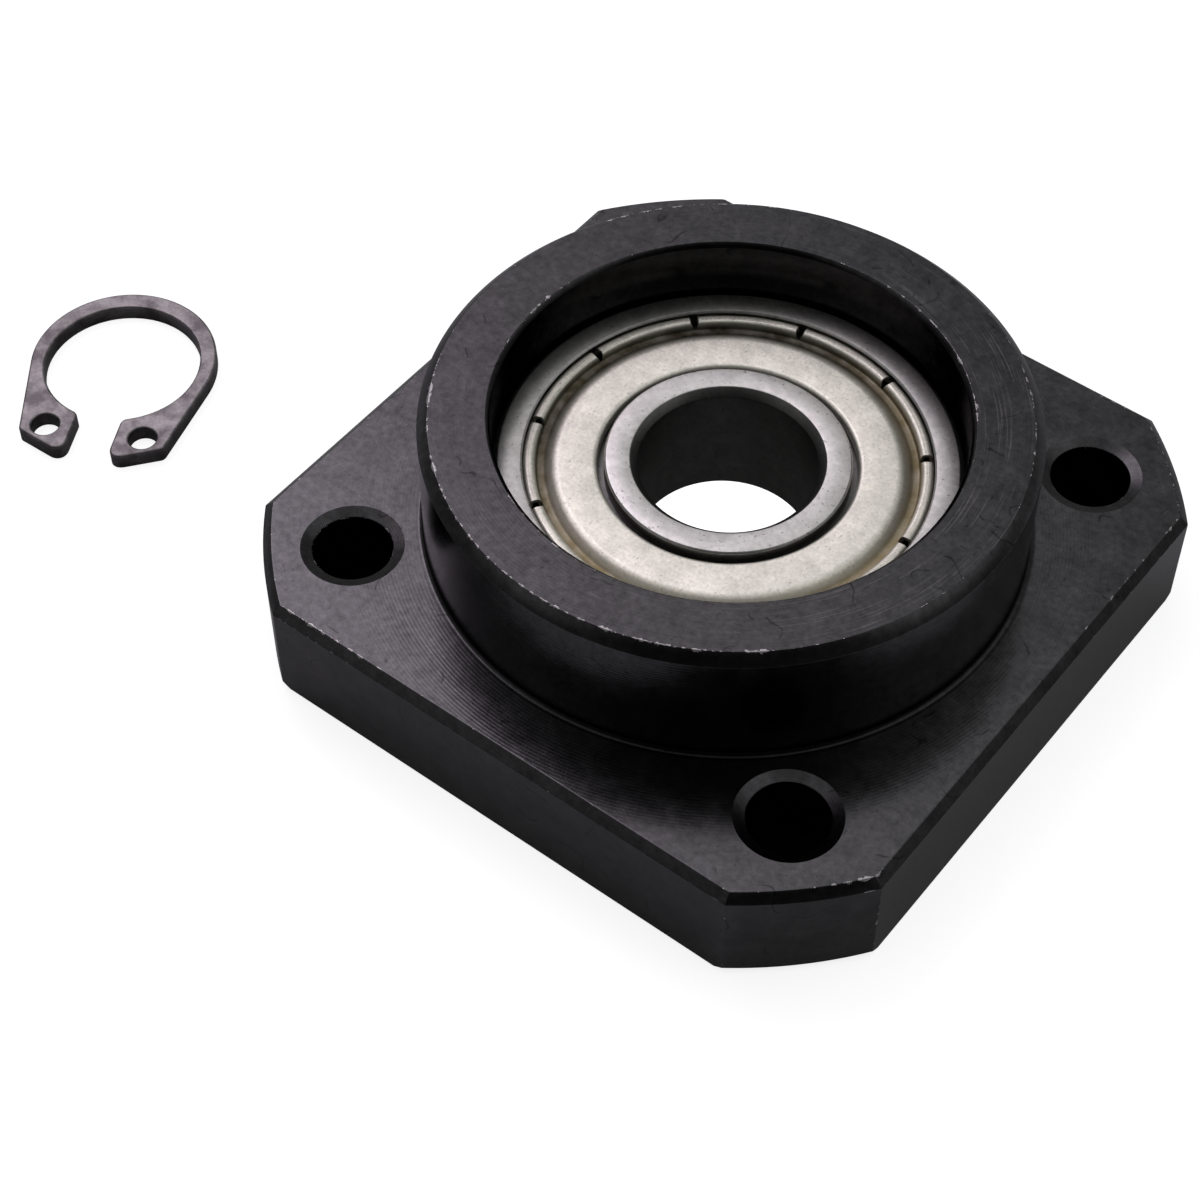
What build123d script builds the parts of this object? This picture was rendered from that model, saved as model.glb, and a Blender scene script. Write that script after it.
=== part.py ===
from build123d import *
from math import acos, atan2, cos, hypot, sin
import os

os.makedirs("parts", exist_ok=True)

# Flanged support for the free end of a ball screw. A square flange with a round
# pilot boss holds a shielded deep-groove ball bearing, and a retaining ring,
# shown taken off, keeps the bearing's inner ring on the screw's end.
# All sizes are in millimetres. The origin is where the bore axis meets the
# mounting face, which is the flange's face on the boss side. +Z runs along the
# axis, out of the boss.

# Housing
flange_width = 42.0  # across the milled flats
flange_corner_diameter = 52.0  # across the turned corners
flange_thickness = 7.0
flange_chamfer = 0.5
back_corner_chamfer = 0.5  # turned, so it runs round the corners only
back_edge_break = 0.2
boss_diameter = 34.0
boss_height = 8.0
boss_chamfer = 0.6
boss_root_fillet = 0.3
bore_mouth_chamfer = 0.25
seat_shoulder = 1.25  # how far the housing's shoulder reaches in under the outer ring
seat_clearance = 0.01  # radial, between the seat and the bearing
seat_corner_fillet = 0.25
back_opening_chamfer = 0.5

# Mounting screws: socket heads sink into the back
screw_count = 4
screw_circle_diameter = 42.0
screw_first_angle = 45.0
screw_hole_diameter = 4.5
screw_mouth_width = 0.67  # the countersink at the mouth is wide and shallow
screw_mouth_depth = 0.24
screw_head_diameter = 8.0
screw_head_depth = 4.0
screw_head_chamfer = 0.2

# Bearing rings
bearing_bore = 10.0
bearing_outer_diameter = 26.0
bearing_width = 8.0
bearing_recess = 3.7  # from the boss's rim down to the bearing's face
outer_corner_radius = 0.5
inner_corner_radius = 0.6
ring_edge_break = 0.1
outer_face_wall = 1.64  # width of the outer ring's flat face, with its corner
inner_face_wall = 1.85  # the same on the inner ring
land_height = 0.78  # how far each shoulder rises above its raceway

# Balls and raceways
ball_count = 7
ball_diameter = 4.762
ball_first_angle = 0.0
race_clearance = 0.02  # radial, between a ball and each raceway
race_conformity = 0.525  # raceway radius over ball diameter

# Ribbon cage: two pressed halves, riveted between the balls
cage_sheet = 0.45
cage_width = 2.0
cage_bend_radius = 0.3
pocket_clearance = 0.06
rivet_diameter = 0.9
rivet_clearance = 0.01
rivet_head_diameter = 1.5
rivet_head_height = 0.3
rivet_head_round = 0.22

# Shields: pressed sheet, curled at the rim and crimped into the outer ring
shield_sheet = 0.2
shield_gap = 0.35  # radial, from the inner ring to the shield's lip
shield_depth = 0.25  # from the bearing's face down to the flat
channel_depth = 0.8  # from the bearing's face down to the channel round the flat
lip_radius = 0.4
lip_drop = 0.55  # length of the turned-down lip
flat_edge_radius = 0.4
slope_width = 0.5  # where the flat falls into the channel
channel_width = 0.65
channel_radius = 0.15
bead_depth = 0.15  # from the bearing's face down to the top of the curled rim
bead_rise_width = 0.2
bead_top_width = 0.34
bead_radius = 0.21
rim_gap = 0.11  # radial, from the curled rim to the outer ring's face
rim_depth = 0.6  # from the bearing's face down to the rim's tongue
rim_bend_radius = 0.06
tongue_length = 0.34  # how far the tongue goes into the outer ring's groove
groove_clearance = 0.05
notch_count = 11
notch_width = 0.45
notch_first_angle = 5.5

# Step on the inner ring that the shield's lip turns into
inner_step_clearance = 0.3

# Retaining ring, lying on the surface that the flange's back stands on
ring_thickness = 1.0
ring_inner_diameter = 9.6
ring_outer_diameter = 11.5
ring_offset = 0.25  # the outer circle's centre lies this far from the gap's side
ring_gap = 2.75
ring_edge_radius = 0.1
lug_end = 8.0  # from the ring's centre to the lug's corner at the gap
lug_shoulder = 6.55  # the same to its outer corner
lug_reach = 4.55  # from the ring's middle line to that corner
lug_end_radius = 0.7
lug_shoulder_radius = 0.4
lug_tip_radius = 0.3
lug_hole_diameter = 1.7
lug_hole_spacing = 6.15
lug_hole_distance = 5.88
ring_place = (-39.6, -8.8)
ring_turn = 27.0

# Heights and radii that follow from the sizes above
bearing_top = boss_height - bearing_recess
bearing_middle = bearing_top - bearing_width / 2
bearing_bottom = bearing_top - bearing_width
seat_radius = bearing_outer_diameter / 2 + seat_clearance
ball_radius = ball_diameter / 2
ball_circle_radius = (bearing_bore + bearing_outer_diameter) / 4
raceway_radius = race_conformity * ball_diameter
outer_race_reach = ball_circle_radius + ball_radius + race_clearance
inner_race_reach = ball_circle_radius - ball_radius - race_clearance
outer_land_radius = outer_race_reach - land_height
inner_land_radius = inner_race_reach + land_height
outer_face_radius = bearing_outer_diameter / 2 - outer_face_wall
inner_face_radius = bearing_bore / 2 + inner_face_wall
half_width = bearing_width / 2
lip_face_radius = inner_face_radius + shield_gap
channel_floor = half_width - channel_depth
lip_end = half_width - shield_depth - lip_drop


def turned(corners):
    """A solid turned about Z from its section, given as (radius, height, corner rounding)."""
    points = [(radius, height) for radius, height, rounding in corners]
    roundings = [rounding for radius, height, rounding in corners]
    section = make_face(FilletPolyline(*points, radius=roundings, close=True))
    return revolve(Plane.XZ * section, Axis.Z)


def around(radius, count, first_angle):
    """Places evenly spaced on a circle about Z, each turned to face outwards."""
    return PolarLocations(radius, count, start_angle=first_angle)


def mirrored(solid):
    """The same piece on the other side of the bearing's middle plane."""
    return mirror(solid, about=Plane.XY)


def make_bore():
    """What the lathe takes out of the housing: mouth, bearing seat, shoulder and back opening."""
    opening_radius = seat_radius - seat_shoulder
    back = -flange_thickness
    return turned(
        [
            (0, boss_height, 0),
            (seat_radius + bore_mouth_chamfer, boss_height, 0),
            (seat_radius, boss_height - bore_mouth_chamfer, 0),
            (seat_radius, bearing_bottom, seat_corner_fillet),
            (opening_radius, bearing_bottom, 0),
            (opening_radius, back + back_opening_chamfer, 0),
            (opening_radius + back_opening_chamfer, back, 0),
            (0, back, 0),
        ]
    )


def make_screw_hole():
    """A clearance hole with its mouth countersunk, and a bore for the screw's head in the back."""
    hole_radius = screw_hole_diameter / 2
    head_radius = screw_head_diameter / 2
    back = -flange_thickness
    return turned(
        [
            (0, 0, 0),
            (hole_radius + screw_mouth_width, 0, 0),
            (hole_radius, -screw_mouth_depth, 0),
            (hole_radius, back + screw_head_depth, 0),
            (head_radius, back + screw_head_depth, 0),
            (head_radius, back + screw_head_chamfer, 0),
            (head_radius + screw_head_chamfer, back, 0),
            (0, back, 0),
        ]
    )


def make_housing():
    """One steel piece: a turned blank with four flats milled on it, bored and drilled."""
    outside = flange_corner_diameter / 2
    back = -flange_thickness
    disc = turned(
        [
            (0, 0, 0),
            (outside, 0, 0),
            (outside, back + back_corner_chamfer, 0),
            (outside - back_corner_chamfer, back, 0),
            (0, back, 0),
        ]
    )
    square = extrude(Rectangle(flange_width, flange_width), back)
    square = chamfer(square.edges().group_by(Axis.Z)[0], back_edge_break)
    flange = disc & square
    flange = chamfer(flange.edges().group_by(Axis.Z)[-1], flange_chamfer)
    boss = Cylinder(boss_diameter / 2, boss_height, align=(Align.CENTER, Align.CENTER, Align.MIN))
    boss = chamfer(boss.edges().group_by(Axis.Z)[-1], boss_chamfer)
    body = flange + boss
    root = body.edges().filter_by(GeomType.CIRCLE).filter_by(
        lambda edge: abs(edge.radius - boss_diameter / 2) < 0.001 and abs(edge.center().Z) < 0.001
    )
    body = fillet(root, boss_root_fillet)
    screws = around(screw_circle_diameter / 2, screw_count, screw_first_angle)
    return body - make_bore() - screws * make_screw_hole()


def make_shield_seat():
    """What is cut from the outer ring's end: a recess with a groove for the shield's tongue."""
    tongue_end = outer_face_radius - rim_gap + tongue_length
    groove_top = half_width - rim_depth + groove_clearance
    groove_bottom = half_width - rim_depth - shield_sheet - groove_clearance
    step = channel_floor - shield_sheet - groove_clearance
    inside = outer_land_radius - land_height
    return turned(
        [
            (inside, half_width, 0),
            (outer_face_radius + ring_edge_break, half_width, 0),
            (outer_face_radius, half_width - ring_edge_break, 0),
            (outer_face_radius, groove_top, 0),
            (tongue_end + groove_clearance, groove_top, 0),
            (tongue_end + groove_clearance, groove_bottom, 0),
            (outer_face_radius, groove_bottom, 0),
            (outer_face_radius, step, 0),
            (inside, step, 0),
        ]
    )


def make_outer_ring():
    """Outer ring, with its raceway and a shield seat at each end."""
    outside = bearing_outer_diameter / 2
    blank = turned(
        [
            (outer_land_radius, -half_width, 0),
            (outside, -half_width, outer_corner_radius),
            (outside, half_width, outer_corner_radius),
            (outer_land_radius, half_width, 0),
        ]
    )
    raceway = Torus(outer_race_reach - raceway_radius, raceway_radius)
    seat = make_shield_seat()
    return blank - raceway - seat - mirrored(seat)


def make_inner_ring():
    """Inner ring, with its raceway and a step at each end that clears the shield's lip."""
    bore_radius = bearing_bore / 2
    step = lip_end - inner_step_clearance
    blank = turned(
        [
            (bore_radius, -half_width, inner_corner_radius),
            (inner_land_radius, -half_width, 0),
            (inner_land_radius, half_width, 0),
            (bore_radius, half_width, inner_corner_radius),
        ]
    )
    raceway = Torus(inner_race_reach + raceway_radius, raceway_radius)
    outside = inner_land_radius + land_height
    end_step = turned(
        [
            (inner_face_radius, step, 0),
            (inner_face_radius, half_width - ring_edge_break, 0),
            (inner_face_radius - ring_edge_break, half_width, 0),
            (outside, half_width, 0),
            (outside, step, 0),
        ]
    )
    return blank - raceway - end_step - mirrored(end_step)


def make_cage_half():
    """Upper half of the ribbon cage: a flat band pressed into a cup over each ball."""
    cup_radius = ball_radius + pocket_clearance + cage_sheet
    inside = ball_circle_radius - cage_width / 2
    outside = ball_circle_radius + cage_width / 2
    base = (Align.CENTER, Align.CENTER, Align.MIN)
    balls = around(ball_circle_radius, ball_count, ball_first_angle)
    rivets = around(ball_circle_radius, ball_count, ball_first_angle + 180 / ball_count)
    pressed = Cylinder(outside, cage_sheet, align=base) + balls * Sphere(cup_radius)
    bends = pressed.edges().filter_by(GeomType.CIRCLE).filter_by(
        lambda edge: abs(edge.bounding_box().min.Z - cage_sheet) < 0.001
        and abs(edge.bounding_box().max.Z - cage_sheet) < 0.001
        and edge.radius < cup_radius
    )
    pressed = fillet(bends, cage_bend_radius)
    band = Cylinder(outside, cup_radius, align=base) - Cylinder(inside, cup_radius, align=base)
    ribbon = pressed & band
    ribbon -= balls * Sphere(ball_radius + pocket_clearance)
    return ribbon - rivets * Cylinder(rivet_diameter / 2 + rivet_clearance, 3 * cage_sheet)


def make_cage_rivets():
    """One rivet in each land between two balls, headed on both sides."""
    shank = rivet_diameter / 2
    head = rivet_head_diameter / 2
    top = cage_sheet + rivet_head_height
    rivet = turned(
        [
            (0, -top, 0),
            (head, -top, rivet_head_round),
            (head, -cage_sheet, 0),
            (shank, -cage_sheet, 0),
            (shank, cage_sheet, 0),
            (head, cage_sheet, 0),
            (head, top, rivet_head_round),
            (0, top, 0),
        ]
    )
    places = around(ball_circle_radius, ball_count, ball_first_angle + 180 / ball_count)
    return Compound(places * rivet)


def make_shield():
    """Upper shield: lip, flat, channel and curled rim in one sheet, with notches in the rim."""
    tongue_radius = outer_face_radius - rim_gap
    bead_outer = tongue_radius - (rim_depth - bead_depth) / 4
    bead_inner = bead_outer - bead_top_width
    channel_outer = bead_inner - bead_rise_width
    channel_inner = channel_outer - channel_width
    flat_outer = channel_inner - slope_width
    flat = half_width - shield_depth
    bead = half_width - bead_depth
    tongue = half_width - rim_depth
    corners = [
        (lip_face_radius, lip_end),
        (lip_face_radius, flat),
        (flat_outer, flat),
        (channel_inner, channel_floor),
        (channel_outer, channel_floor),
        (bead_inner, bead),
        (bead_outer, bead),
        (tongue_radius, tongue),
        (tongue_radius + tongue_length, tongue),
    ]
    bends = [
        lip_radius,
        flat_edge_radius,
        channel_radius,
        channel_radius,
        bead_radius,
        bead_radius,
        rim_bend_radius,
    ]
    top_side = Wire(FilletPolyline(*corners, radius=bends).edges())
    section = Face(top_side.offset_2d(shield_sheet, side=Side.RIGHT))
    sheet = revolve(Plane.XZ * section, Axis.Z)
    notch_inner = channel_outer + notch_width / 2
    notch_length = tongue_radius + tongue_length
    across = (Align.MIN, Align.CENTER, Align.CENTER)
    notch = Box(notch_length, notch_width, half_width, align=across)
    notch += Cylinder(notch_width / 2, half_width)
    notch = Pos(0, 0, half_width) * notch
    return sheet - around(notch_inner, notch_count, notch_first_angle) * notch


def make_lug():
    """Right-hand lug, from the gap out to where it runs into the outer circle."""
    outer = ring_outer_diameter / 2
    to_corner = hypot(lug_reach, lug_shoulder + ring_offset)
    corner_angle = atan2(-lug_shoulder - ring_offset, lug_reach)
    tangent_angle = corner_angle + acos(outer / to_corner)
    tangent = (outer * cos(tangent_angle), ring_offset + outer * sin(tangent_angle))
    corners = [(0, 0), (ring_gap / 2, -lug_end), (lug_reach, -lug_shoulder), tangent]
    corners.insert(1, (ring_gap / 2, 0))
    roundings = [0, 0, lug_end_radius, lug_shoulder_radius, 0]
    return make_face(FilletPolyline(*corners, radius=roundings, close=True))


def make_retaining_ring():
    """Spring ring that is widest opposite its gap, with a pierced lug each side of the gap."""
    lug = make_lug()
    inner = Circle(ring_inner_diameter / 2)
    outline = Pos(0, ring_offset) * Circle(ring_outer_diameter / 2)
    outline += lug + mirror(lug, about=Plane.YZ)
    gap = Pos(0, -lug_end) * Rectangle(ring_gap, 2 * lug_end)
    hole = Circle(lug_hole_diameter / 2)
    holes = [Pos(side * lug_hole_spacing / 2, -lug_hole_distance) * hole for side in (-1, 1)]
    plan = outline - inner - gap - holes
    tips = plan.vertices().filter_by(
        lambda corner: abs(abs(corner.X) - ring_gap / 2) < 0.001 and corner.Y > -lug_shoulder
    )
    plan = fillet(tips, lug_tip_radius)
    ring = extrude(plan, ring_thickness)
    ring = fillet(ring.edges().group_by(Axis.Z)[-1], ring_edge_radius)
    place = Pos(ring_place[0], ring_place[1], -flange_thickness) * Rot(0, 0, ring_turn)
    return place * ring


def make_bearing():
    """Every piece of the bearing, in its place in the housing."""
    pieces = {
        "bearing_outer_ring": make_outer_ring(),
        "bearing_inner_ring": make_inner_ring(),
        "cage_upper": make_cage_half(),
        "cage_rivets": make_cage_rivets(),
        "shield_upper": make_shield(),
    }
    pieces["cage_lower"] = mirrored(pieces["cage_upper"])
    pieces["shield_lower"] = mirrored(pieces["shield_upper"])
    places = around(ball_circle_radius, ball_count, ball_first_angle)
    for number, place in enumerate(places, start=1):
        pieces[f"ball_{number}"] = place * Sphere(ball_radius)
    return {name: Pos(0, 0, bearing_middle) * piece for name, piece in pieces.items()}


nodes = {"housing": make_housing(), **make_bearing(), "retaining_ring": make_retaining_ring()}
for name, node in nodes.items():
    export_step(node, f"parts/{name}.step")
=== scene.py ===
import bmesh
import bpy
from math import acos, atan2, cos, hypot, pi, radians, sin, sqrt, tan
from mathutils import Matrix, Vector


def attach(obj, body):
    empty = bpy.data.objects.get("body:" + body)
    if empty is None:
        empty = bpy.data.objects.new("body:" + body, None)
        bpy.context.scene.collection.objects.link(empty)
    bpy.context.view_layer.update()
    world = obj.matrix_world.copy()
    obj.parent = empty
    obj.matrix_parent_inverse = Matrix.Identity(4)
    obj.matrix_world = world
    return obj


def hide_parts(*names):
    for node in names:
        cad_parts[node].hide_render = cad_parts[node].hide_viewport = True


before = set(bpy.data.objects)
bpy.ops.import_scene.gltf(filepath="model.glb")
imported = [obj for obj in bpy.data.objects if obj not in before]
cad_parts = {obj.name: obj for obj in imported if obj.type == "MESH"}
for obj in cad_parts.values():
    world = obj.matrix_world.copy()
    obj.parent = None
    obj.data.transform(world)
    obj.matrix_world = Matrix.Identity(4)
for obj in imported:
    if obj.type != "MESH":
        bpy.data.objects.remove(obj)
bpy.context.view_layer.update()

# sizes in the dictionaries are in mm, heights above the mounting face unless a comment says otherwise;
# angles are in degrees
mm = 0.001
tiny = 0.001 * mm  # points nearer than this count as one


def toLinear(hexColour):
    shares = [int(hexColour[start:start + 2], 16) / 255 for start in (1, 3, 5)]
    return [s / 12.92 if s <= 0.04045 else ((s + 0.055) / 1.055) ** 2.4 for s in shares] + [1]


def addNode(tree, kind, inputs=(), **settings):
    # inputs are values, sockets or nodes: a tuple fills the first inputs in order, a dict names them
    node = tree.nodes.new("ShaderNode" + kind)
    for name, value in settings.items():
        setattr(node, name, value)
    named = inputs if isinstance(inputs, dict) else dict(enumerate(inputs))
    for name, value in named.items():
        if isinstance(value, bpy.types.Node):
            value = value.outputs[0]
        if isinstance(value, bpy.types.NodeSocket):
            tree.links.new(value, node.inputs[name])
        else:
            node.inputs[name].default_value = value
    return node


# helpers for modelling

segmentsPerRadian = 9  # of a corner rounded by 1 mm or more
spokeAngle = 0.4  # faces that meet flatter than this are merged


def deselectAll():
    if bpy.context.object and bpy.context.object.mode != "OBJECT":
        bpy.ops.object.mode_set(mode="OBJECT")
    bpy.ops.object.select_all(action="DESELECT")


def pick(piece, kind, test):
    bpy.ops.mesh.select_mode(type=kind)
    bpy.ops.mesh.select_all(action="DESELECT")
    cage = bmesh.from_edit_mesh(piece.data)
    for element in {"VERT": cage.verts, "EDGE": cage.edges, "FACE": cage.faces}[kind]:
        if test(element):
            element.select_set(True)
    cage.select_flush_mode()
    bmesh.update_edit_mesh(piece.data)


def drawOutline(name, points, roundings):
    # one flat face through the points, with its corners rounded; it stays in edit mode
    deselectAll()
    bpy.ops.mesh.primitive_plane_add(size=mm, location=points[0])
    piece = bpy.context.object
    piece.name = piece.data.name = name
    bpy.ops.object.mode_set(mode="EDIT")
    bpy.ops.mesh.select_mode(type="VERT")
    bpy.ops.mesh.select_all(action="SELECT")
    bpy.ops.mesh.merge(type="CENTER")
    for start, end in zip(points, points[1:]):
        bpy.ops.mesh.extrude_region_move(TRANSFORM_OT_translate={"value": end - start})
    bpy.ops.mesh.select_all(action="SELECT")
    bpy.ops.mesh.edge_face_add()
    for number, rounding in enumerate(roundings):
        if not rounding:
            continue
        here, after = points[number], points[(number + 1) % len(points)]
        turn = (here - points[number - 1]).angle(after - here)
        spot = here - points[0]  # the mesh still lies about its own first point
        pick(piece, "VERT", lambda v: (v.co - spot).length < tiny / 10)
        bpy.ops.mesh.bevel(
            offset=rounding * mm * tan(turn / 2),
            offset_type="OFFSET",
            segments=max(2, round(turn * min(rounding, 1) ** 0.5 * segmentsPerRadian)),
            profile=0.5,
            affect="VERTICES",
        )
    bpy.ops.mesh.select_all(action="SELECT")
    return piece


def turnPiece(name, corners, steps):
    # a solid turned about Z; corners are (radius, height, rounding)
    points = [Vector((radius, 0, height)) * mm for radius, height, rounding in corners]
    piece = drawOutline(name, points, [rounding for radius, height, rounding in corners])
    bpy.ops.mesh.delete(type="ONLY_FACE")
    bpy.ops.mesh.select_all(action="SELECT")
    bpy.ops.mesh.spin(steps=steps, angle=2 * pi, center=(0, 0, 0), axis=(0, 0, 1))
    bpy.ops.mesh.select_all(action="SELECT")
    bpy.ops.mesh.remove_doubles(threshold=tiny)
    bpy.ops.mesh.normals_make_consistent(inside=False)
    bpy.ops.object.mode_set(mode="OBJECT")
    bpy.ops.object.transform_apply(location=True, rotation=True, scale=True)
    return piece


def raisePiece(name, corners, height):
    # a flat solid on the XY plane; corners are (x, y, rounding)
    points = [Vector((x, y, 0)) * mm for x, y, rounding in corners]
    piece = drawOutline(name, points, [rounding for x, y, rounding in corners])
    bpy.ops.mesh.extrude_region_move(TRANSFORM_OT_translate={"value": (0, 0, height * mm)})
    bpy.ops.mesh.select_all(action="SELECT")
    bpy.ops.mesh.normals_make_consistent(inside=False)
    bpy.ops.object.mode_set(mode="OBJECT")
    bpy.ops.object.transform_apply(location=True, rotation=True, scale=True)
    return piece


def dissolveFlat(piece, height):
    # the turned steps leave spokes on a flat face; they are merged away
    pick(piece, "FACE", lambda f: all(abs(v.co.z - height * mm) < tiny for v in f.verts))
    bpy.ops.mesh.dissolve_limited(angle_limit=radians(spokeAngle))


def cutAway(piece, cutters):
    deselectAll()
    for cutter in cutters:
        cutter.select_set(True)
    bpy.context.view_layer.objects.active = cutters[0]
    bpy.ops.object.join()
    deselectAll()
    bpy.context.view_layer.objects.active = piece
    piece.select_set(True)
    bpy.ops.object.modifier_add(type="BOOLEAN")
    cut = piece.modifiers[-1]
    cut.operation = "DIFFERENCE"
    cut.solver = "EXACT"
    cut.object = cutters[0]
    bpy.ops.object.modifier_apply(modifier=cut.name)
    bpy.data.objects.remove(cutters[0])


def copyMoved(original, motion):
    copy = original.copy()
    copy.data = original.data.copy()
    copy.data.transform(motion)
    bpy.context.collection.objects.link(copy)
    return copy


def smoothen(piece, angle):
    # smooth where two faces meet gently, and flat faces stay flat right up to their rounded edges
    deselectAll()
    bpy.context.view_layer.objects.active = piece
    piece.select_set(True)
    bpy.ops.object.shade_smooth_by_angle(angle=radians(angle))
    bpy.ops.object.modifier_add(type="WEIGHTED_NORMAL")
    weighted = piece.modifiers[-1]
    weighted.mode = "FACE_AREA"
    weighted.weight = 50
    weighted.keep_sharp = True
    bpy.ops.object.modifier_apply(modifier=weighted.name)


def finishPiece(piece, body, material, node):
    piece.data.materials.clear()
    piece.data.materials.append(material)
    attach(piece, body)
    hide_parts(node)


# housing: a turned blank with four flats milled on it, then drilled

housing = {
    "flangeWidth": 42.0,
    "flangeCornerRadius": 26.0,
    "flangeThickness": 7.0,
    "flangeChamfer": 0.5,
    "backCornerChamfer": 0.5,
    "backEdgeBreak": 0.2,
    "bossRadius": 17.0,
    "bossHeight": 8.0,
    "bossChamfer": 0.6,
    "rootFillet": 0.3,
    "seatRadius": 13.01,
    "seatDepth": 11.7,  # from the rim down to the shoulder
    "seatCorner": 0.25,
    "mouthChamfer": 0.25,
    "openingRadius": 11.76,
    "openingChamfer": 0.5,
    "screwPlace": 14.8492,  # along X and along Y
    "holeRadius": 2.25,
    "holeMouthWidth": 0.67,
    "holeMouthDepth": 0.24,
    "headRadius": 4.0,
    "headDepth": 4.0,
    "headChamfer": 0.2,
    "edgeRounding": 0.05,
    "sharpAngle": 20,  # edges that turn more than this are rounded
    "smoothAngle": 15,
    "turnSteps": 384,
    "holeSteps": 96,
}


def makeScrewCutter():
    s = housing
    back = -s["flangeThickness"]
    hole, head, headChamfer = s["holeRadius"], s["headRadius"], s["headChamfer"]
    width, depth = s["holeMouthWidth"], s["holeMouthDepth"]
    beyond = 0.2  # the cutter runs past both faces, on the same slopes
    cutter = turnPiece("screwCutter", [
        (0, beyond, 0),
        (hole + width + beyond * width / depth, beyond, 0),
        (hole, -depth, 0),
        (hole, back + s["headDepth"], 0),
        (head, back + s["headDepth"], 0),
        (head, back + headChamfer, 0),
        (head + headChamfer + beyond, back - beyond, 0),
        (0, back - beyond, 0),
    ], s["holeSteps"])
    cutter.data.transform(Matrix.Translation((s["screwPlace"] * mm, s["screwPlace"] * mm, 0)))
    return cutter


def makeHousing():
    s = housing
    half, corner, chamfer = s["flangeWidth"] / 2, s["flangeCornerRadius"], s["flangeChamfer"]
    back, rim, edge = -s["flangeThickness"], s["bossHeight"], s["edgeRounding"]
    seat, opening, floor = s["seatRadius"], s["openingRadius"], s["bossHeight"] - s["seatDepth"]
    lip, backCorner, backBreak = s["openingChamfer"], s["backCornerChamfer"], s["backEdgeBreak"]
    piece = turnPiece("housing_machined", [
        (seat + s["mouthChamfer"], rim, edge),
        (s["bossRadius"] - s["bossChamfer"], rim, edge),
        (s["bossRadius"], rim - s["bossChamfer"], edge),
        (s["bossRadius"], 0, s["rootFillet"]),
        (corner - chamfer, 0, 0),
        (corner, -chamfer, 0),
        (corner, back + backCorner, 0),
        (corner - backCorner, back, 0),
        (opening + lip, back, edge),
        (opening, back + lip, edge),
        (opening, floor, edge),
        (seat, floor, s["seatCorner"]),
        (seat, rim - s["mouthChamfer"], edge),
    ], s["turnSteps"])
    bpy.ops.object.mode_set(mode="EDIT")
    up = Vector((0, 0, 1))
    for quarter in range(4):
        side = Vector((cos(quarter * pi / 2), sin(quarter * pi / 2), 0))
        for spot, normal in (
            (side * half, side),
            (side * (half - chamfer), side + up),
            (side * (half - backBreak) + up * back, side - up),
        ):
            pick(piece, "FACE", lambda f: max(v.co.z for v in f.verts) < tiny)
            bpy.ops.mesh.bisect(plane_co=spot * mm, plane_no=normal, use_fill=True, clear_outer=True)
    dissolveFlat(piece, 0)
    dissolveFlat(piece, back)
    bpy.ops.object.mode_set(mode="OBJECT")
    cutter = makeScrewCutter()
    turns = [Matrix.Rotation(quarter * pi / 2, 4, "Z") for quarter in (1, 2, 3)]
    cutAway(piece, [cutter] + [copyMoved(cutter, turn) for turn in turns])
    bpy.ops.object.mode_set(mode="EDIT")
    dissolveFlat(piece, 0)
    dissolveFlat(piece, back)
    clear = 0.1
    besideBoss = (s["bossRadius"] + s["rootFillet"] + clear) * mm

    def isMilled(v):
        # the turned edges have their roundings already: those of the boss on top, and of its bore on the back
        nearest = besideBoss if v.co.z > -mm else seat * mm
        return v.co.z < tiny and hypot(v.co.x, v.co.y) > nearest

    def isSharp(e):
        if not e.is_manifold or not e.is_convex or e.calc_face_angle() < radians(s["sharpAngle"]):
            return False
        return all(isMilled(v) for v in e.verts)

    pick(piece, "EDGE", isSharp)
    bpy.ops.mesh.bevel(offset=edge * mm, offset_type="OFFSET", segments=2, profile=0.5, affect="EDGES")
    bpy.ops.object.mode_set(mode="OBJECT")
    smoothen(piece, s["smoothAngle"])
    return piece


housingPiece = makeHousing()
print("housing made,", len(housingPiece.data.polygons), "faces")

# bearing: two ground rings and two pressed shields; heights here are from its middle plane

bearing = {
    "middle": 0.3,  # above the mounting face
    "bore": 5.0,
    "outside": 13.0,
    "halfWidth": 4.0,
    "outerCorner": 0.3,
    "innerCorner": 0.45,
    "cornerRounding": 0.08,
    "edge": 0.1,
    "edgeRounding": 0.03,
    "outerFace": 11.36,
    "innerFace": 6.85,
    "outerLand": 10.621,
    "innerLand": 7.379,
    "raceRadius": 2.5,
    "ballCircle": 9.0,
    "ballReach": 2.401,  # a ball's radius with its clearance
    "grooveTop": 0.55,  # from the bearing's face down
    "grooveBottom": 0.85,
    "grooveReach": 0.28,
    "shieldSeat": 1.05,  # from the bearing's face down
    "lipStep": 1.1,  # the same
    "raceSteps": 12,
    "smoothAngle": 20,
    "turnSteps": 256,
}


def raceway(side):
    # the groove's arc as seen in the section, from one shoulder to the other
    b = bearing
    land = b["outerLand"] if side > 0 else b["innerLand"]
    centre = b["ballCircle"] + side * (b["ballReach"] - b["raceRadius"])
    rise = sqrt(b["raceRadius"] ** 2 - (land - centre) ** 2)
    start = atan2(rise, side * (land - centre))
    angles = [start * (1 - 2 * step / b["raceSteps"]) for step in range(b["raceSteps"] + 1)]
    return [(centre + side * b["raceRadius"] * cos(a), b["raceRadius"] * sin(a), 0) for a in angles]


def lift(piece):
    piece.data.transform(Matrix.Translation((0, 0, bearing["middle"] * mm)))
    return piece


def mirrorDown(corners):
    return [(radius, -height, rounding) for radius, height, rounding in reversed(corners)]


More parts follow.
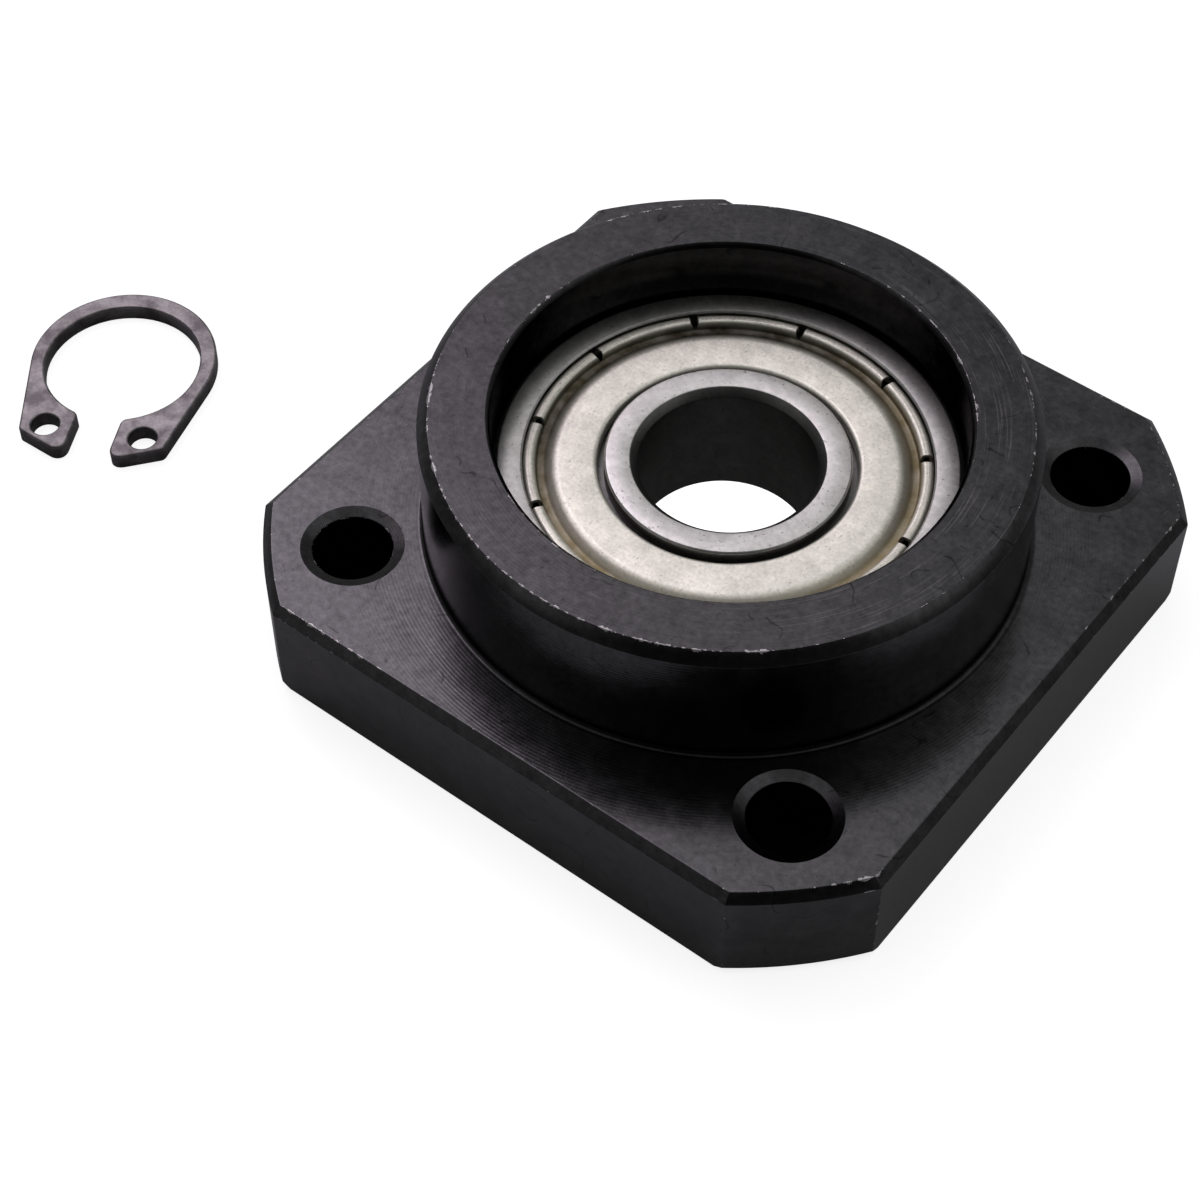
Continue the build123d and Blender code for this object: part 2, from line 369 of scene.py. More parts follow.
def makeOuterRing():
    b = bearing
    top, corner = b["halfWidth"], b["outerCorner"]
    upper = [
        (b["outerLand"], top - b["shieldSeat"], 0),
        (b["outerFace"], top - b["shieldSeat"], 0),
        (b["outerFace"], top - b["grooveBottom"], 0),
        (b["outerFace"] + b["grooveReach"], top - b["grooveBottom"], 0),
        (b["outerFace"] + b["grooveReach"], top - b["grooveTop"], 0),
        (b["outerFace"], top - b["grooveTop"], 0),
        (b["outerFace"], top - b["edge"], 0),
        (b["outerFace"] + b["edge"], top, b["edgeRounding"]),
        (b["outside"] - corner, top, b["cornerRounding"]),
        (b["outside"], top - corner, b["cornerRounding"]),
    ]
    section = upper + mirrorDown(upper) + raceway(1)[::-1]
    piece = turnPiece("bearing_outer_ring_ground", section, b["turnSteps"])
    smoothen(piece, b["smoothAngle"])
    return lift(piece)


def makeInnerRing():
    b = bearing
    top, corner = b["halfWidth"], b["innerCorner"]
    upper = [
        (b["bore"], top - corner, b["cornerRounding"]),
        (b["bore"] + corner, top, b["cornerRounding"]),
        (b["innerFace"] - b["edge"], top, b["edgeRounding"]),
        (b["innerFace"], top - b["edge"], b["edgeRounding"]),
        (b["innerFace"], top - b["lipStep"], 0),
        (b["innerLand"], top - b["lipStep"], 0),
    ]
    section = upper + raceway(-1) + mirrorDown(upper)
    piece = turnPiece("bearing_inner_ring_ground", section, b["turnSteps"])
    smoothen(piece, b["smoothAngle"])
    return lift(piece)


shield = {
    "sheet": 0.2,
    "lipFace": 7.2,
    "lipEnd": 3.2,
    "lipRounding": 0.3,
    "flat": 3.75,
    "flatOuter": 9.55,
    "flatRounding": 0.9,
    "channel": 3.35,
    "channelInner": 10.16,
    "channelOuter": 10.58,
    "channelRounding": 0.3,
    "footRounding": 0.1,
    "beadInner": 10.66,
    "bead": 3.85,
    "beadOuter": 11.32,
    "beadRounding": 0.27,
    "tongueRadius": 11.34,
    "tongue": 3.4,
    "tongueRounding": 0.06,
    "tongueLength": 0.27,
    "notchCount": 11,
    "notchWidth": 0.5,
    "notchFirst": 5.5,  # its turn from +X
    "notchSteps": 32,
    "smoothAngle": 35,
    "turnSteps": 352,
}


def sheetSection(corners, thickness):
    # both sides of a bent sheet: the side that is given, and the one to its right
    points = [Vector(corner[:2]) for corner in corners]
    ways = [(end - start).normalized() for start, end in zip(points, points[1:])]
    otherSide = []
    for number, (radius, height, rounding) in enumerate(corners):
        before, after = ways[max(number - 1, 0)], ways[min(number, len(ways) - 1)]
        across = Vector((before.y + after.y, -before.x - after.x)) / (1 + before.dot(after))
        bend = before.x * after.y - before.y * after.x
        inner = rounding + thickness if bend > 0 else rounding - thickness
        otherSide.append((
            radius + across.x * thickness,
            height + across.y * thickness,
            max(inner, 0) if rounding else 0,
        ))
    return corners + otherSide[::-1]


def makeShield():
    s = shield
    piece = turnPiece("shield_pressed", sheetSection([
        (s["lipFace"], s["lipEnd"], 0),
        (s["lipFace"], s["flat"], s["lipRounding"]),
        (s["flatOuter"], s["flat"], s["flatRounding"]),
        (s["channelInner"], s["channel"], s["channelRounding"]),
        (s["channelOuter"], s["channel"], s["footRounding"]),
        (s["beadInner"], s["bead"], s["beadRounding"]),
        (s["beadOuter"], s["bead"], s["beadRounding"]),
        (s["tongueRadius"], s["tongue"], s["tongueRounding"]),
        (s["tongueRadius"] + s["tongueLength"], s["tongue"], 0),
    ], s["sheet"]), s["turnSteps"])
    # a notch is cut by a cylinder that is drawn out past the rim
    width, reach = s["notchWidth"], 2
    deselectAll()
    bpy.ops.mesh.primitive_cylinder_add(
        vertices=s["notchSteps"], radius=width / 2 * mm, depth=reach * mm,
        location=((s["channelOuter"] + width / 2) * mm, 0, s["bead"] * mm))
    slotCutter = bpy.context.object
    bpy.ops.object.mode_set(mode="EDIT")
    pick(slotCutter, "VERT", lambda v: v.co.x > tiny)
    bpy.ops.transform.translate(value=(reach * mm, 0, 0))
    bpy.ops.object.mode_set(mode="OBJECT")
    bpy.ops.object.transform_apply(location=True, rotation=True, scale=True)
    slotCutter.data.transform(Matrix.Rotation(radians(s["notchFirst"]), 4, "Z"))
    spacing = 2 * pi / s["notchCount"]
    turns = [Matrix.Rotation(number * spacing, 4, "Z") for number in range(1, s["notchCount"])]
    cutAway(piece, [slotCutter] + [copyMoved(slotCutter, turn) for turn in turns])
    smoothen(piece, s["smoothAngle"])
    return piece


outerRingPiece = makeOuterRing()
innerRingPiece = makeInnerRing()
upperShield = makeShield()
lowerShield = copyMoved(upperShield, Matrix.Scale(-1, 4, (0, 0, 1)))
lowerShield.data.flip_normals()
upperShield.name = upperShield.data.name = "shield_pressed_front"
lowerShield.name = lowerShield.data.name = "shield_pressed_back"
lift(upperShield)
lift(lowerShield)
print("bearing made")

# retaining ring: blanked from spring steel, widest opposite its gap, with a pierced lug at each end

ring = {
    "thickness": 1.0,
    "insideRadius": 4.8,
    "outsideRadius": 5.75,
    "offset": 0.25,  # from the inside's centre to the outside's
    "gap": 2.75,
    "lugEnd": 8.0,
    "lugShoulder": 6.55,
    "lugReach": 4.55,
    "endRounding": 0.7,
    "shoulderRounding": 0.4,
    "tipRounding": 0.5,
    "holeRadius": 0.85,
    "holeX": 3.075,
    "holeY": -5.88,
    "edgeRounding": 0.15,
    "sharpAngle": 60,  # edges that turn more than this are rounded
    "smoothAngle": 35,
    "arcSteps": 36,
    "holeSteps": 64,
    "place": (-39.6, -8.8, -7.0),
    "turn": 27.0,
}


def ringOutline():
    # right half from the top, down the outside, round the lug and back up the inside; then the left half
    r = ring
    inside, outside, halfGap = r["insideRadius"], r["outsideRadius"], r["gap"] / 2
    toShoulder = hypot(r["lugReach"], r["lugShoulder"] + r["offset"])
    shoulder = atan2(-r["lugShoulder"] - r["offset"], r["lugReach"]) + acos(outside / toShoulder)
    tip = -acos(halfGap / inside)
    shares = [step / r["arcSteps"] for step in range(r["arcSteps"] + 1)]
    outer = [pi / 2 + (shoulder - pi / 2) * share for share in shares]
    inner = [tip + (pi / 2 - tip) * share for share in shares[1:]]
    right = [(outside * cos(a), r["offset"] + outside * sin(a), 0) for a in outer] + [
        (r["lugReach"], -r["lugShoulder"], r["shoulderRounding"]),
        (halfGap, -r["lugEnd"], r["endRounding"]),
        (halfGap, inside * sin(tip), r["tipRounding"]),
    ] + [(inside * cos(a), inside * sin(a), 0) for a in inner]
    return right + [(-x, y, rounding) for x, y, rounding in right[-2:0:-1]]


def makeRetainingRing():
    r = ring
    top = r["thickness"] * mm
    piece = raisePiece("retaining_ring_blanked", ringOutline(), r["thickness"])
    cutters = []
    for side in (-1, 1):
        deselectAll()
        bpy.ops.mesh.primitive_cylinder_add(
            vertices=r["holeSteps"], radius=r["holeRadius"] * mm, depth=3 * top,
            location=(side * r["holeX"] * mm, r["holeY"] * mm, top / 2))
        bpy.ops.object.transform_apply(location=True)
        cutters.append(bpy.context.object)
    cutAway(piece, cutters)

    def isTopEdge(e):
        sharp = e.calc_face_angle(0) > radians(r["sharpAngle"])
        return sharp and all(abs(v.co.z - top) < tiny for v in e.verts)

    bpy.ops.object.mode_set(mode="EDIT")
    pick(piece, "EDGE", isTopEdge)
    bpy.ops.mesh.bevel(
        offset=r["edgeRounding"] * mm, offset_type="OFFSET", segments=4, profile=0.5, affect="EDGES")
    bpy.ops.object.mode_set(mode="OBJECT")
    smoothen(piece, r["smoothAngle"])
    piece.data.transform(
        Matrix.Translation(Vector(r["place"]) * mm) @ Matrix.Rotation(radians(r["turn"]), 4, "Z"))
    return piece


retainingRingPiece = makeRetainingRing()
print("retaining ring made,", len(retainingRingPiece.data.polygons), "faces")

# materials: coordinates are turned to mm first, so a scale of 1 / size gives a pattern of that size;
# a noise runs from about 0.3 to 0.7, which MapRange turns to levels round 1


def newMaterial(name):
    material = bpy.data.materials.new(name)
    material.use_nodes = True
    tree = material.node_tree
    return material, tree, tree.nodes["Principled BSDF"]


def placeInMm(tree):
    coords = addNode(tree, "TexCoord")
    spot = addNode(tree, "VectorMath", {0: coords.outputs["Object"], "Scale": 1 / mm}, operation="SCALE")
    parts = addNode(tree, "SeparateXYZ", (spot,))
    flat = addNode(tree, "VectorMath", (spot, (1, 1, 0)), operation="MULTIPLY")
    return {
        "spot": spot,
        "z": parts.outputs["Z"],
        "radius": addNode(tree, "VectorMath", (flat,), operation="LENGTH").outputs["Value"],
        "angle": addNode(tree, "Math", (parts.outputs["Y"], parts.outputs["X"]), operation="ARCTAN2"),
    }


def toolRings(tree, at, pitch, breaks):
    # uneven rings from a tool that feeds pitch mm a turn, on a face and round a wall alike; each runs on
    # for 1 / breaks of a radian or so
    feed = addNode(tree, "Math", (at["radius"], at["z"]), operation="ADD")
    feed = addNode(tree, "Math", (feed, 1 / pitch), operation="MULTIPLY")
    turn = addNode(tree, "Math", (at["angle"], breaks), operation="MULTIPLY")
    way = addNode(tree, "CombineXYZ", (feed, turn))
    return addNode(tree, "TexNoise", {"Vector": way, "Scale": 1.0, "Detail": 2.0, "Roughness": 0.6})


def specks(tree, at, size, above, stretch=(1, 1, 1)):
    # small separate spots, 1 inside and 0 between, the fewer the higher the noise has to rise above;
    # a stretch draws them out to short scratches
    softness = 0.04
    moved = addNode(tree, "VectorMath", (at["spot"], stretch), operation="MULTIPLY")
    grain = addNode(tree, "TexNoise", {"Vector": moved, "Scale": 1 / size, "Detail": 2.0, "Roughness": 0.5})
    return addNode(tree, "MapRange", (grain, above, above + softness, 0.0, 1.0))


def byAngle(tree, at, stops):
    # a level from 0 to 1 that changes round the axis; stops are degrees from -180 to 180, and a level each
    ramp = addNode(tree, "ValToRGB", (addNode(tree, "MapRange", (at["angle"], -pi, pi, 0.0, 1.0)),))
    points = ramp.color_ramp.elements
    points[0].position, points[1].position = 0.0, 1.0
    for angle, level in stops[1:-1]:
        points.new((angle + 180) / 360)
    for point, (angle, level) in zip(points, stops):
        point.color = (level, level, level, 1)
    return ramp


def fromScrews(tree, at):
    # distance from the nearest screw's axis
    s = housing
    away = addNode(tree, "VectorMath", (at["spot"],), operation="ABSOLUTE")
    away = addNode(tree, "VectorMath", (away, (1, 1, 0)), operation="MULTIPLY")
    axis = (s["screwPlace"], s["screwPlace"], 0)
    return addNode(tree, "VectorMath", (away, axis), operation="DISTANCE").outputs["Value"]


wear = {
    # how much each edge has been knocked: degrees round the axis, level
    "rimOutside": (
        (-180, 0.25), (-168, 0.6), (-160, 0.35), (-152, 1.0), (-143, 0.9), (-137, 0.6), (-129, 1.0),
        (-124, 0.8), (-100, 0.95), (-85, 0.9), (-70, 1.0), (-47, 0.9), (-38, 0.4), (-19, 0.6), (-8, 0.35),
        (4, 0.55), (14, 0.4), (24, 0.8), (34, 0.8), (47, 0.75), (60, 0.4), (104, 0.35), (120, 0.85),
        (152, 0.9), (164, 0.5), (180, 0.25)),
    "rimInside": (
        (-180, 0.85), (-169, 0.6), (-158, 0.2), (-125, 0.2), (-116, 0.8), (-98, 0.75), (-90, 0.35),
        (-58, 0.25), (-51, 0.6), (-42, 0.2), (0, 0.3), (16, 0.6), (56, 0.75), (72, 0.6), (96, 0.4),
        (120, 0.2), (165, 0.3), (180, 0.85)),
    "flange": (
        (-180, 0.2), (-151, 0.55), (-143, 0.6), (-136, 0.3), (-122, 0.95), (-116, 0.8), (-108, 0.25),
        (-88, 0.5), (-78, 0.6), (-70, 0.3), (-54, 0.55), (-44, 0.5), (-37, 1.0), (-32, 0.3), (0, 0.3),
        (30, 0.75), (37, 0.7), (51, 0.7), (59, 0.85), (64, 0.2), (120, 0.3), (145, 0.5), (180, 0.2)),
    "screwMouths": ((-180, 0.5), (-134, 0.9), (-90, 0.3), (0, 0.3), (45, 0.7), (90, 0.4), (180, 0.5)),
    # the widest streak on each edge
    "rimWidth": 0.14,
    "flangeWidth": 0.15,
    "flangeLowerWidth": 0.05,
    "flangeCornerWidth": 0.06,
    "mouthWidth": 0.07,
    "nickLength": 0.6,
    "nickRange": (0.68, 0.86),  # of the lifted noise, from a first trace to the widest streak
}


def bareEdges(tree, at, toFlat, toCorner, toScrew):
    # 1 where an edge was knocked down to the steel, in ragged streaks along it
    s, w = housing, wear
    # how far in from the flange's outline a spot is, and how far it is from a vertical corner
    inward = addNode(tree, "Math", (toFlat, toCorner), operation="MINIMUM")
    aside = addNode(tree, "Math", (toFlat, toCorner), operation="MAXIMUM")
    rimOutside, rimInside = s["bossRadius"] - s["bossChamfer"], s["seatRadius"] + s["mouthChamfer"]
    # each line: two distances, where each of them is on the edge, and the widest streak
    edges = {
        "rimOutside": [(at["radius"], rimOutside, at["z"], s["bossHeight"], w["rimWidth"])],
        "rimInside": [(at["radius"], rimInside, at["z"], s["bossHeight"], w["rimWidth"])],
        "flange": [
            (inward, s["flangeChamfer"], at["z"], 0.0, w["flangeWidth"]),
            (inward, 0.0, at["z"], -s["flangeChamfer"], w["flangeLowerWidth"]),
            (aside, 0.0, inward, 0.0, w["flangeCornerWidth"])],
        "screwMouths": [(toScrew, s["holeRadius"], at["z"], -s["holeMouthDepth"], w["mouthWidth"])],
    }
    chips = addNode(tree, "TexNoise", {
        "Vector": at["spot"], "Scale": 1 / w["nickLength"], "Detail": 5.0, "Roughness": 0.68})
    knocks = 0.25  # how far a level of 1 lifts the chips' noise
    bare = 0.0
    for name, lines in edges.items():
        level = byAngle(tree, at, w[name])
        knocked = addNode(tree, "Math", (level, knocks, chips), operation="MULTIPLY_ADD")
        knocked = addNode(tree, "MapRange", (knocked, *w["nickRange"], 0.0, 1.0))
        knocked = addNode(tree, "Math", (knocked, 1.5), operation="POWER")
        for across, edgeAcross, up, edgeUp, widest in lines:
            gap = addNode(tree, "CombineXYZ", (across, up))
            gap = addNode(tree, "VectorMath", (gap, (edgeAcross, edgeUp, 0)), operation="DISTANCE")
            reach = addNode(tree, "Math", (knocked, widest), operation="MULTIPLY")
            nick = addNode(tree, "Math", (gap.outputs["Value"], reach), operation="LESS_THAN")
            bare = addNode(tree, "Math", (bare, nick), operation="MAXIMUM")
    return bare


blackOxide = {
    "film": "#4d4c4e",
    "bareSteel": "#aeabad",
    "patchSize": 1.6,  # where the bath took more or less
    "patchLevels": (0.83, 1.17),
    "mottleSize": 0.42,  # finer marks of the salt
    "mottle": 0.25,
    "mottleOnSides": 0.25,  # share of it; the milled sides took the salt more evenly
    "grainSize": 0.16,  # the film's crystals, drawn coarse so that they show
    "latheRings": 0.13,
    "latheLevels": (0.95, 1.05),
    "rimRings": 0.1,
    "toolFeed": 0.2,  # a turn
    "flawSize": 0.16,
    "scuffSize": 0.2,
    "scuffLevel": 0.5,
    "hairlineSweep": 4.0,
    "hairlineLength": 1.8,
    "dustSize": 0.1,
    "dustLevel": 2.4,
    "rimLevels": (1.05, 0.9),  # below the rim, and on it
    # painted shade in the screw holes' mouths
    "mouthShadeLevel": 0.6,
    # how dark the painted shade on the seat's wall is
    "seatShadeLevel": 0.4,
    "rootShadeReach": 0.15,  # beyond the root fillet
    "roughness": (0.18, 0.24),
    "bareRoughness": 0.2,  # added to that
    # round the axis: how much of the scores, of the feed marks, and how light the painted shade at the boss's
    # root is
    "scored": ((-180, 0.05), (-60, 0.15), (-25, 0.7), (50, 1.0), (90, 0.5), (130, 0.1), (180, 0.05)),
    "feedKept": ((-180, 0.15), (-130, 0.2), (-113, 1.0), (-60, 0.8), (0, 0.3), (180, 0.15)),
    "rootShade": (
        (-180, 0.9), (-125, 0.85), (-108, 0.5), (-85, 0.3), (-30, 0.25), (10, 0.45), (60, 0.7), (180, 0.9)),
}


def blackOxideSteel():
    # free-cutting steel, turned and milled, then blackened in a hot salt bath and oiled: near-black with a
    # satin sheen, fine tool rings, mottled where the salt took unevenly, and bright steel where edges were
    # knocked
    material, tree, shader = newMaterial("blackOxideTurnedSteel")
    at = placeInMm(tree)
    s, o = housing, blackOxide
    sides = addNode(tree, "VectorMath", (at["spot"],), operation="ABSOLUTE")
    sides = addNode(tree, "SeparateXYZ", (sides,))
    widest = addNode(tree, "Math", (sides.outputs["X"], sides.outputs["Y"]), operation="MAXIMUM")
    toFlat = addNode(tree, "Math", (s["flangeWidth"] / 2, widest), operation="SUBTRACT")
    toCorner = addNode(tree, "Math", (s["flangeCornerRadius"], at["radius"]), operation="SUBTRACT")
    toScrew = fromScrews(tree, at)
    bare = bareEdges(tree, at, toFlat, toCorner, toScrew)

    # rings run round the housing's axis, and round a screw's axis inside its mouth
    mouthRadius = s["holeRadius"] + s["holeMouthWidth"]
    inMouth = addNode(tree, "Math", (toScrew, mouthRadius), operation="LESS_THAN")
    turnedRadius = addNode(tree, "Mix", {0: inMouth, 2: at["radius"], 3: toScrew}, data_type="FLOAT")
    turnedAt = dict(at, radius=turnedRadius)
    lathe = toolRings(tree, turnedAt, o["latheRings"], breaks=3.0)
    onRim = addNode(tree, "MapRange", (at["z"], s["bossHeight"] - 1, s["bossHeight"] - 0.1, 0.0, 1.0))
    # light scores round the rim, most of them on its right
    scored = addNode(tree, "Math", (byAngle(tree, at, o["scored"]), onRim), operation="MULTIPLY")
    scores = toolRings(tree, turnedAt, o["rimRings"], breaks=2.5)
    scores = addNode(tree, "MapRange", (scores, 0.57, 0.67, 0.0, 1.1))
    scores = addNode(tree, "Math", (scores, scored, 1.0), operation="MULTIPLY_ADD")
    cloud = addNode(tree, "TexNoise", {
        "Vector": at["spot"], "Scale": 1 / o["patchSize"], "Detail": 5.0, "Roughness": 0.6})
    salt = addNode(tree, "TexNoise", {
        "Vector": at["spot"], "Scale": 1 / o["mottleSize"], "Detail": 4.0, "Roughness": 0.65})
    mottle = addNode(tree, "MapRange", (salt, 0.3, 0.7, -o["mottle"], o["mottle"]))
    upward = addNode(tree, "MapRange", (
        at["z"], -s["flangeChamfer"] - 0.1, -s["flangeChamfer"], o["mottleOnSides"], 1.0))
    grain = addNode(tree, "TexNoise", {
        "Vector": at["spot"], "Scale": 1 / o["grainSize"], "Detail": 2.0})
    scuffs = specks(tree, at, o["flawSize"], above=0.71)
    for stretch in ((1, 0.25, 1), (0.3, 1.1, 1)):
        scratches = specks(tree, at, o["scuffSize"], above=0.72, stretch=stretch)
        scuffs = addNode(tree, "Math", (scuffs, scratches), operation="MAXIMUM")
    # hairline scratches: short lengths of the fold of a wide noise
    fold = addNode(tree, "TexNoise", {
        "Vector": at["spot"], "Scale": 1 / o["hairlineSweep"], "Detail": 1.5, "Roughness": 0.5})
    fold = addNode(tree, "Math", (fold, 0.5), operation="SUBTRACT")
    fold = addNode(tree, "Math", (fold,), operation="ABSOLUTE")
    fold = addNode(tree, "MapRange", (fold, 0.002, 0.006, 1.0, 0.0))
    lengths = specks(tree, at, o["hairlineLength"], above=0.57)
    hairlines = addNode(tree, "Math", (fold, lengths), operation="MULTIPLY")
    scuffs = addNode(tree, "Math", (scuffs, hairlines), operation="MAXIMUM")
    dust = specks(tree, at, o["dustSize"], above=0.74)
    # painted shade: the seat's wall is darkened, and its reflection dimmed, as shade down the recess
    clearOfSeatShade = addNode(tree, "MapRange", (
        at["radius"], s["seatRadius"] + 0.08, s["seatRadius"] + 0.28, 0.0, 1.0))
    # painted shade in the boss's root fillet, darkest at the front
    root, rootShadeWidth = s["rootFillet"], o["rootShadeReach"]
    inRootShade = addNode(tree, "Math", (at["z"],), operation="ABSOLUTE")
    inRootShade = addNode(tree, "MapRange", (inRootShade, root, root + rootShadeWidth, 1.0, 0.0))
    inRootShade = addNode(tree, "MapRange", (
        at["radius"], s["bossRadius"] + root, s["bossRadius"] + root + rootShadeWidth, inRootShade, 0.0))
    rootShade = byAngle(tree, at, o["rootShade"])
    film = toLinear(o["film"])[:3]
    for level in (
        addNode(tree, "MapRange", (cloud, 0.3, 0.7, *o["patchLevels"])),
        addNode(tree, "Math", (mottle, upward, 1.0), operation="MULTIPLY_ADD"),
        addNode(tree, "MapRange", (lathe, 0.3, 0.7, *o["latheLevels"])),
        scores,
        addNode(tree, "MapRange", (onRim, 0.0, 1.0, *o["rimLevels"])),
        # painted shade in the screw holes' mouths
        addNode(tree, "MapRange", (inMouth, 0.0, 1.0, 1.0, o["mouthShadeLevel"])),
        addNode(tree, "MapRange", (scuffs, 0.0, 1.0, 1.0, o["scuffLevel"])),
        addNode(tree, "MapRange", (dust, 0.0, 1.0, 1.0, o["dustLevel"])),
        # painted shade on the seat's wall
        addNode(tree, "MapRange", (clearOfSeatShade, 0.0, 1.0, o["seatShadeLevel"], 1.0)),
        # painted shade in the root fillet
        addNode(tree, "Mix", {0: inRootShade, 2: 1.0, 3: rootShade}, data_type="FLOAT"),
    ):
        film = addNode(tree, "VectorMath", {0: film, "Scale": level}, operation="SCALE")
    steel = addNode(tree, "MixRGB", (bare, film, toLinear(o["bareSteel"])))
    tree.links.new(steel.outputs[0], shader.inputs["Base Color"])
    shader.inputs["Metallic"].default_value = 1.0
    # the oxide's loose top layer keeps it from mirroring much at a low angle; inside the seat the tint is
    # lowered further, as painted shade
    dull = addNode(tree, "MapRange", (clearOfSeatShade, 0.0, 1.0, 0.3, 0.8))
    tree.links.new(dull.outputs[0], shader.inputs["Specular Tint"])
    rough = addNode(tree, "MapRange", (cloud, 0.3, 0.7, *o["roughness"]))
    rough = addNode(tree, "Math", (bare, o["bareRoughness"], rough), operation="MULTIPLY_ADD")
    tree.links.new(rough.outputs[0], shader.inputs["Roughness"])

    # heights in thousandths of a mm: the lathe's feed marks, which were rubbed away but for a patch beside
    # the boss, and aren't on the milled flats
    feed = addNode(tree, "Math", (turnedRadius, at["z"]), operation="ADD")
    feed = addNode(tree, "Math", (feed, 2 * pi / o["toolFeed"]), operation="MULTIPLY")
    feed = addNode(tree, "Math", (feed,), operation="SINE")
    turned = addNode(tree, "Math", (lathe, 2.6, feed), operation="MULTIPLY_ADD")
    for share in (
        addNode(tree, "MapRange", (at["radius"], 19.5, 22.0, 0.9, 0.1)),
        byAngle(tree, at, o["feedKept"]),
        addNode(tree, "MapRange", (onRim, 0.0, 1.0, 1.0, 0.3)),
        addNode(tree, "Math", (toFlat, 0.02), operation="GREATER_THAN"),
    ):
        turned = addNode(tree, "Math", (turned, share), operation="MULTIPLY")
    height = addNode(tree, "Math", (grain, 1.6, turned), operation="MULTIPLY_ADD")
    height = addNode(tree, "Math", (bare, -9.0, height), operation="MULTIPLY_ADD")
    bump = addNode(tree, "Bump", {"Height": height, "Strength": 1.0, "Distance": 0.001 * mm})
    tree.links.new(bump.outputs[0], shader.inputs["Normal"])
    return material


groundSteel = {
    "tone": "#cfcecb",
    "patchSize": 1.1,
    "patchLevels": (0.84, 1.12),
    "grainSize": 0.3,
    "grainLevels": (0.9, 1.08),
    "wheelRings": 0.1,
    "pitSize": 0.18,
    "scratchSize": 0.14,
    "pitLevel": 0.45,
    "underShieldShadeLevel": 0.28,
    "boreShadeLevel": 0.22,
    "cornerShadeLevel": 0.5,
    "roughness": 0.4,
    # round the axis: painted shade darkens the outer ring towards the back
    "backShade": (
        (-180, 0.77), (-156, 1.0), (33, 0.92), (60, 0.68), (90, 0.76), (123, 0.6), (150, 0.5), (180, 0.77)),
}


def groundBearingSteel():
    # hardened chrome steel, ground: cool grey and even, with faint rings from the wheel, blotches and pits of
    # old handling and short scratches; it is painted darker as shade in the gaps under the shields, down its
    # bore, on its outer corners and towards the back of the outer ring
    material, tree, shader = newMaterial("groundBearingSteel")
    at = placeInMm(tree)
    b, g = bearing, groundSteel
    wheel = toolRings(tree, at, g["wheelRings"], breaks=4.0)
    cloud = addNode(tree, "TexNoise", {
        "Vector": at["spot"], "Scale": 1 / g["patchSize"], "Detail": 5.0, "Roughness": 0.6})
    fine = addNode(tree, "TexNoise", {"Vector": at["spot"], "Scale": 1 / g["grainSize"], "Detail": 3.0})
    pits = specks(tree, at, g["pitSize"], above=0.67)
    for stretch in ((0.2, 1, 1), (1, 0.25, 1)):
        scratches = specks(tree, at, g["scratchSize"], above=0.71, stretch=stretch)
        pits = addNode(tree, "Math", (pits, scratches), operation="MAXIMUM")
    height = addNode(tree, "Math", (at["z"], b["middle"]), operation="SUBTRACT")
    height = addNode(tree, "Math", (height,), operation="ABSOLUTE")
    # painted shade in the gaps between the rings and the shields
    underShieldShade = addNode(tree, "MapRange", (height, 2.7, 2.8, 0.0, 1.0))
    for inside in (
        addNode(tree, "MapRange", (height, b["halfWidth"] - 0.15, b["halfWidth"] - 0.1, 1.0, 0.0)),
        addNode(tree, "Math", (at["radius"], b["innerFace"] - 0.03), operation="GREATER_THAN"),
        addNode(tree, "Math", (at["radius"], b["outerFace"] + 0.03), operation="LESS_THAN"),
    ):
        underShieldShade = addNode(tree, "Math", (underShieldShade, inside), operation="MULTIPLY")
    faceStart = b["bore"] + b["innerCorner"]
    # painted shade down the inner ring's bore
    inBoreShade = addNode(tree, "MapRange", (at["radius"], faceStart - 0.05, faceStart, 1.0, 0.0))
    # painted shade on the outer ring's outer corner, next to the seat's wall
    faceEnd = b["outside"] - b["outerCorner"] + 0.03
    onCornerShade = addNode(tree, "Math", (at["radius"], faceEnd), operation="GREATER_THAN")
    backShade = byAngle(tree, at, g["backShade"])
    tone = toLinear(g["tone"])[:3]
    for level in (
        addNode(tree, "MapRange", (cloud, 0.3, 0.7, *g["patchLevels"])),
        addNode(tree, "MapRange", (fine, 0.3, 0.7, *g["grainLevels"])),
        addNode(tree, "MapRange", (pits, 0.0, 1.0, 1.0, g["pitLevel"])),
        addNode(tree, "MapRange", (underShieldShade, 0.0, 1.0, 1.0, g["underShieldShadeLevel"])),
        addNode(tree, "MapRange", (inBoreShade, 0.0, 1.0, 1.0, g["boreShadeLevel"])),
        addNode(tree, "MapRange", (onCornerShade, 0.0, 1.0, 1.0, g["cornerShadeLevel"])),
        # painted shade on the outer ring towards the back
        addNode(tree, "MapRange", (at["radius"], b["outerFace"] - 0.1, b["outerFace"], 1.0, backShade)),
    ):
        tone = addNode(tree, "VectorMath", {0: tone, "Scale": level}, operation="SCALE")
    tree.links.new(tone.outputs[0], shader.inputs["Base Color"])
    shader.inputs["Metallic"].default_value = 1.0
    shader.inputs["Roughness"].default_value = g["roughness"]
    rise = addNode(tree, "Math", (wheel, 1.6), operation="MULTIPLY")
    rise = addNode(tree, "Math", (pits, -4.0, rise), operation="MULTIPLY_ADD")
    bump = addNode(tree, "Bump", {"Height": rise, "Strength": 1.0, "Distance": 0.001 * mm})
    tree.links.new(bump.outputs[0], shader.inputs["Normal"])
    return material


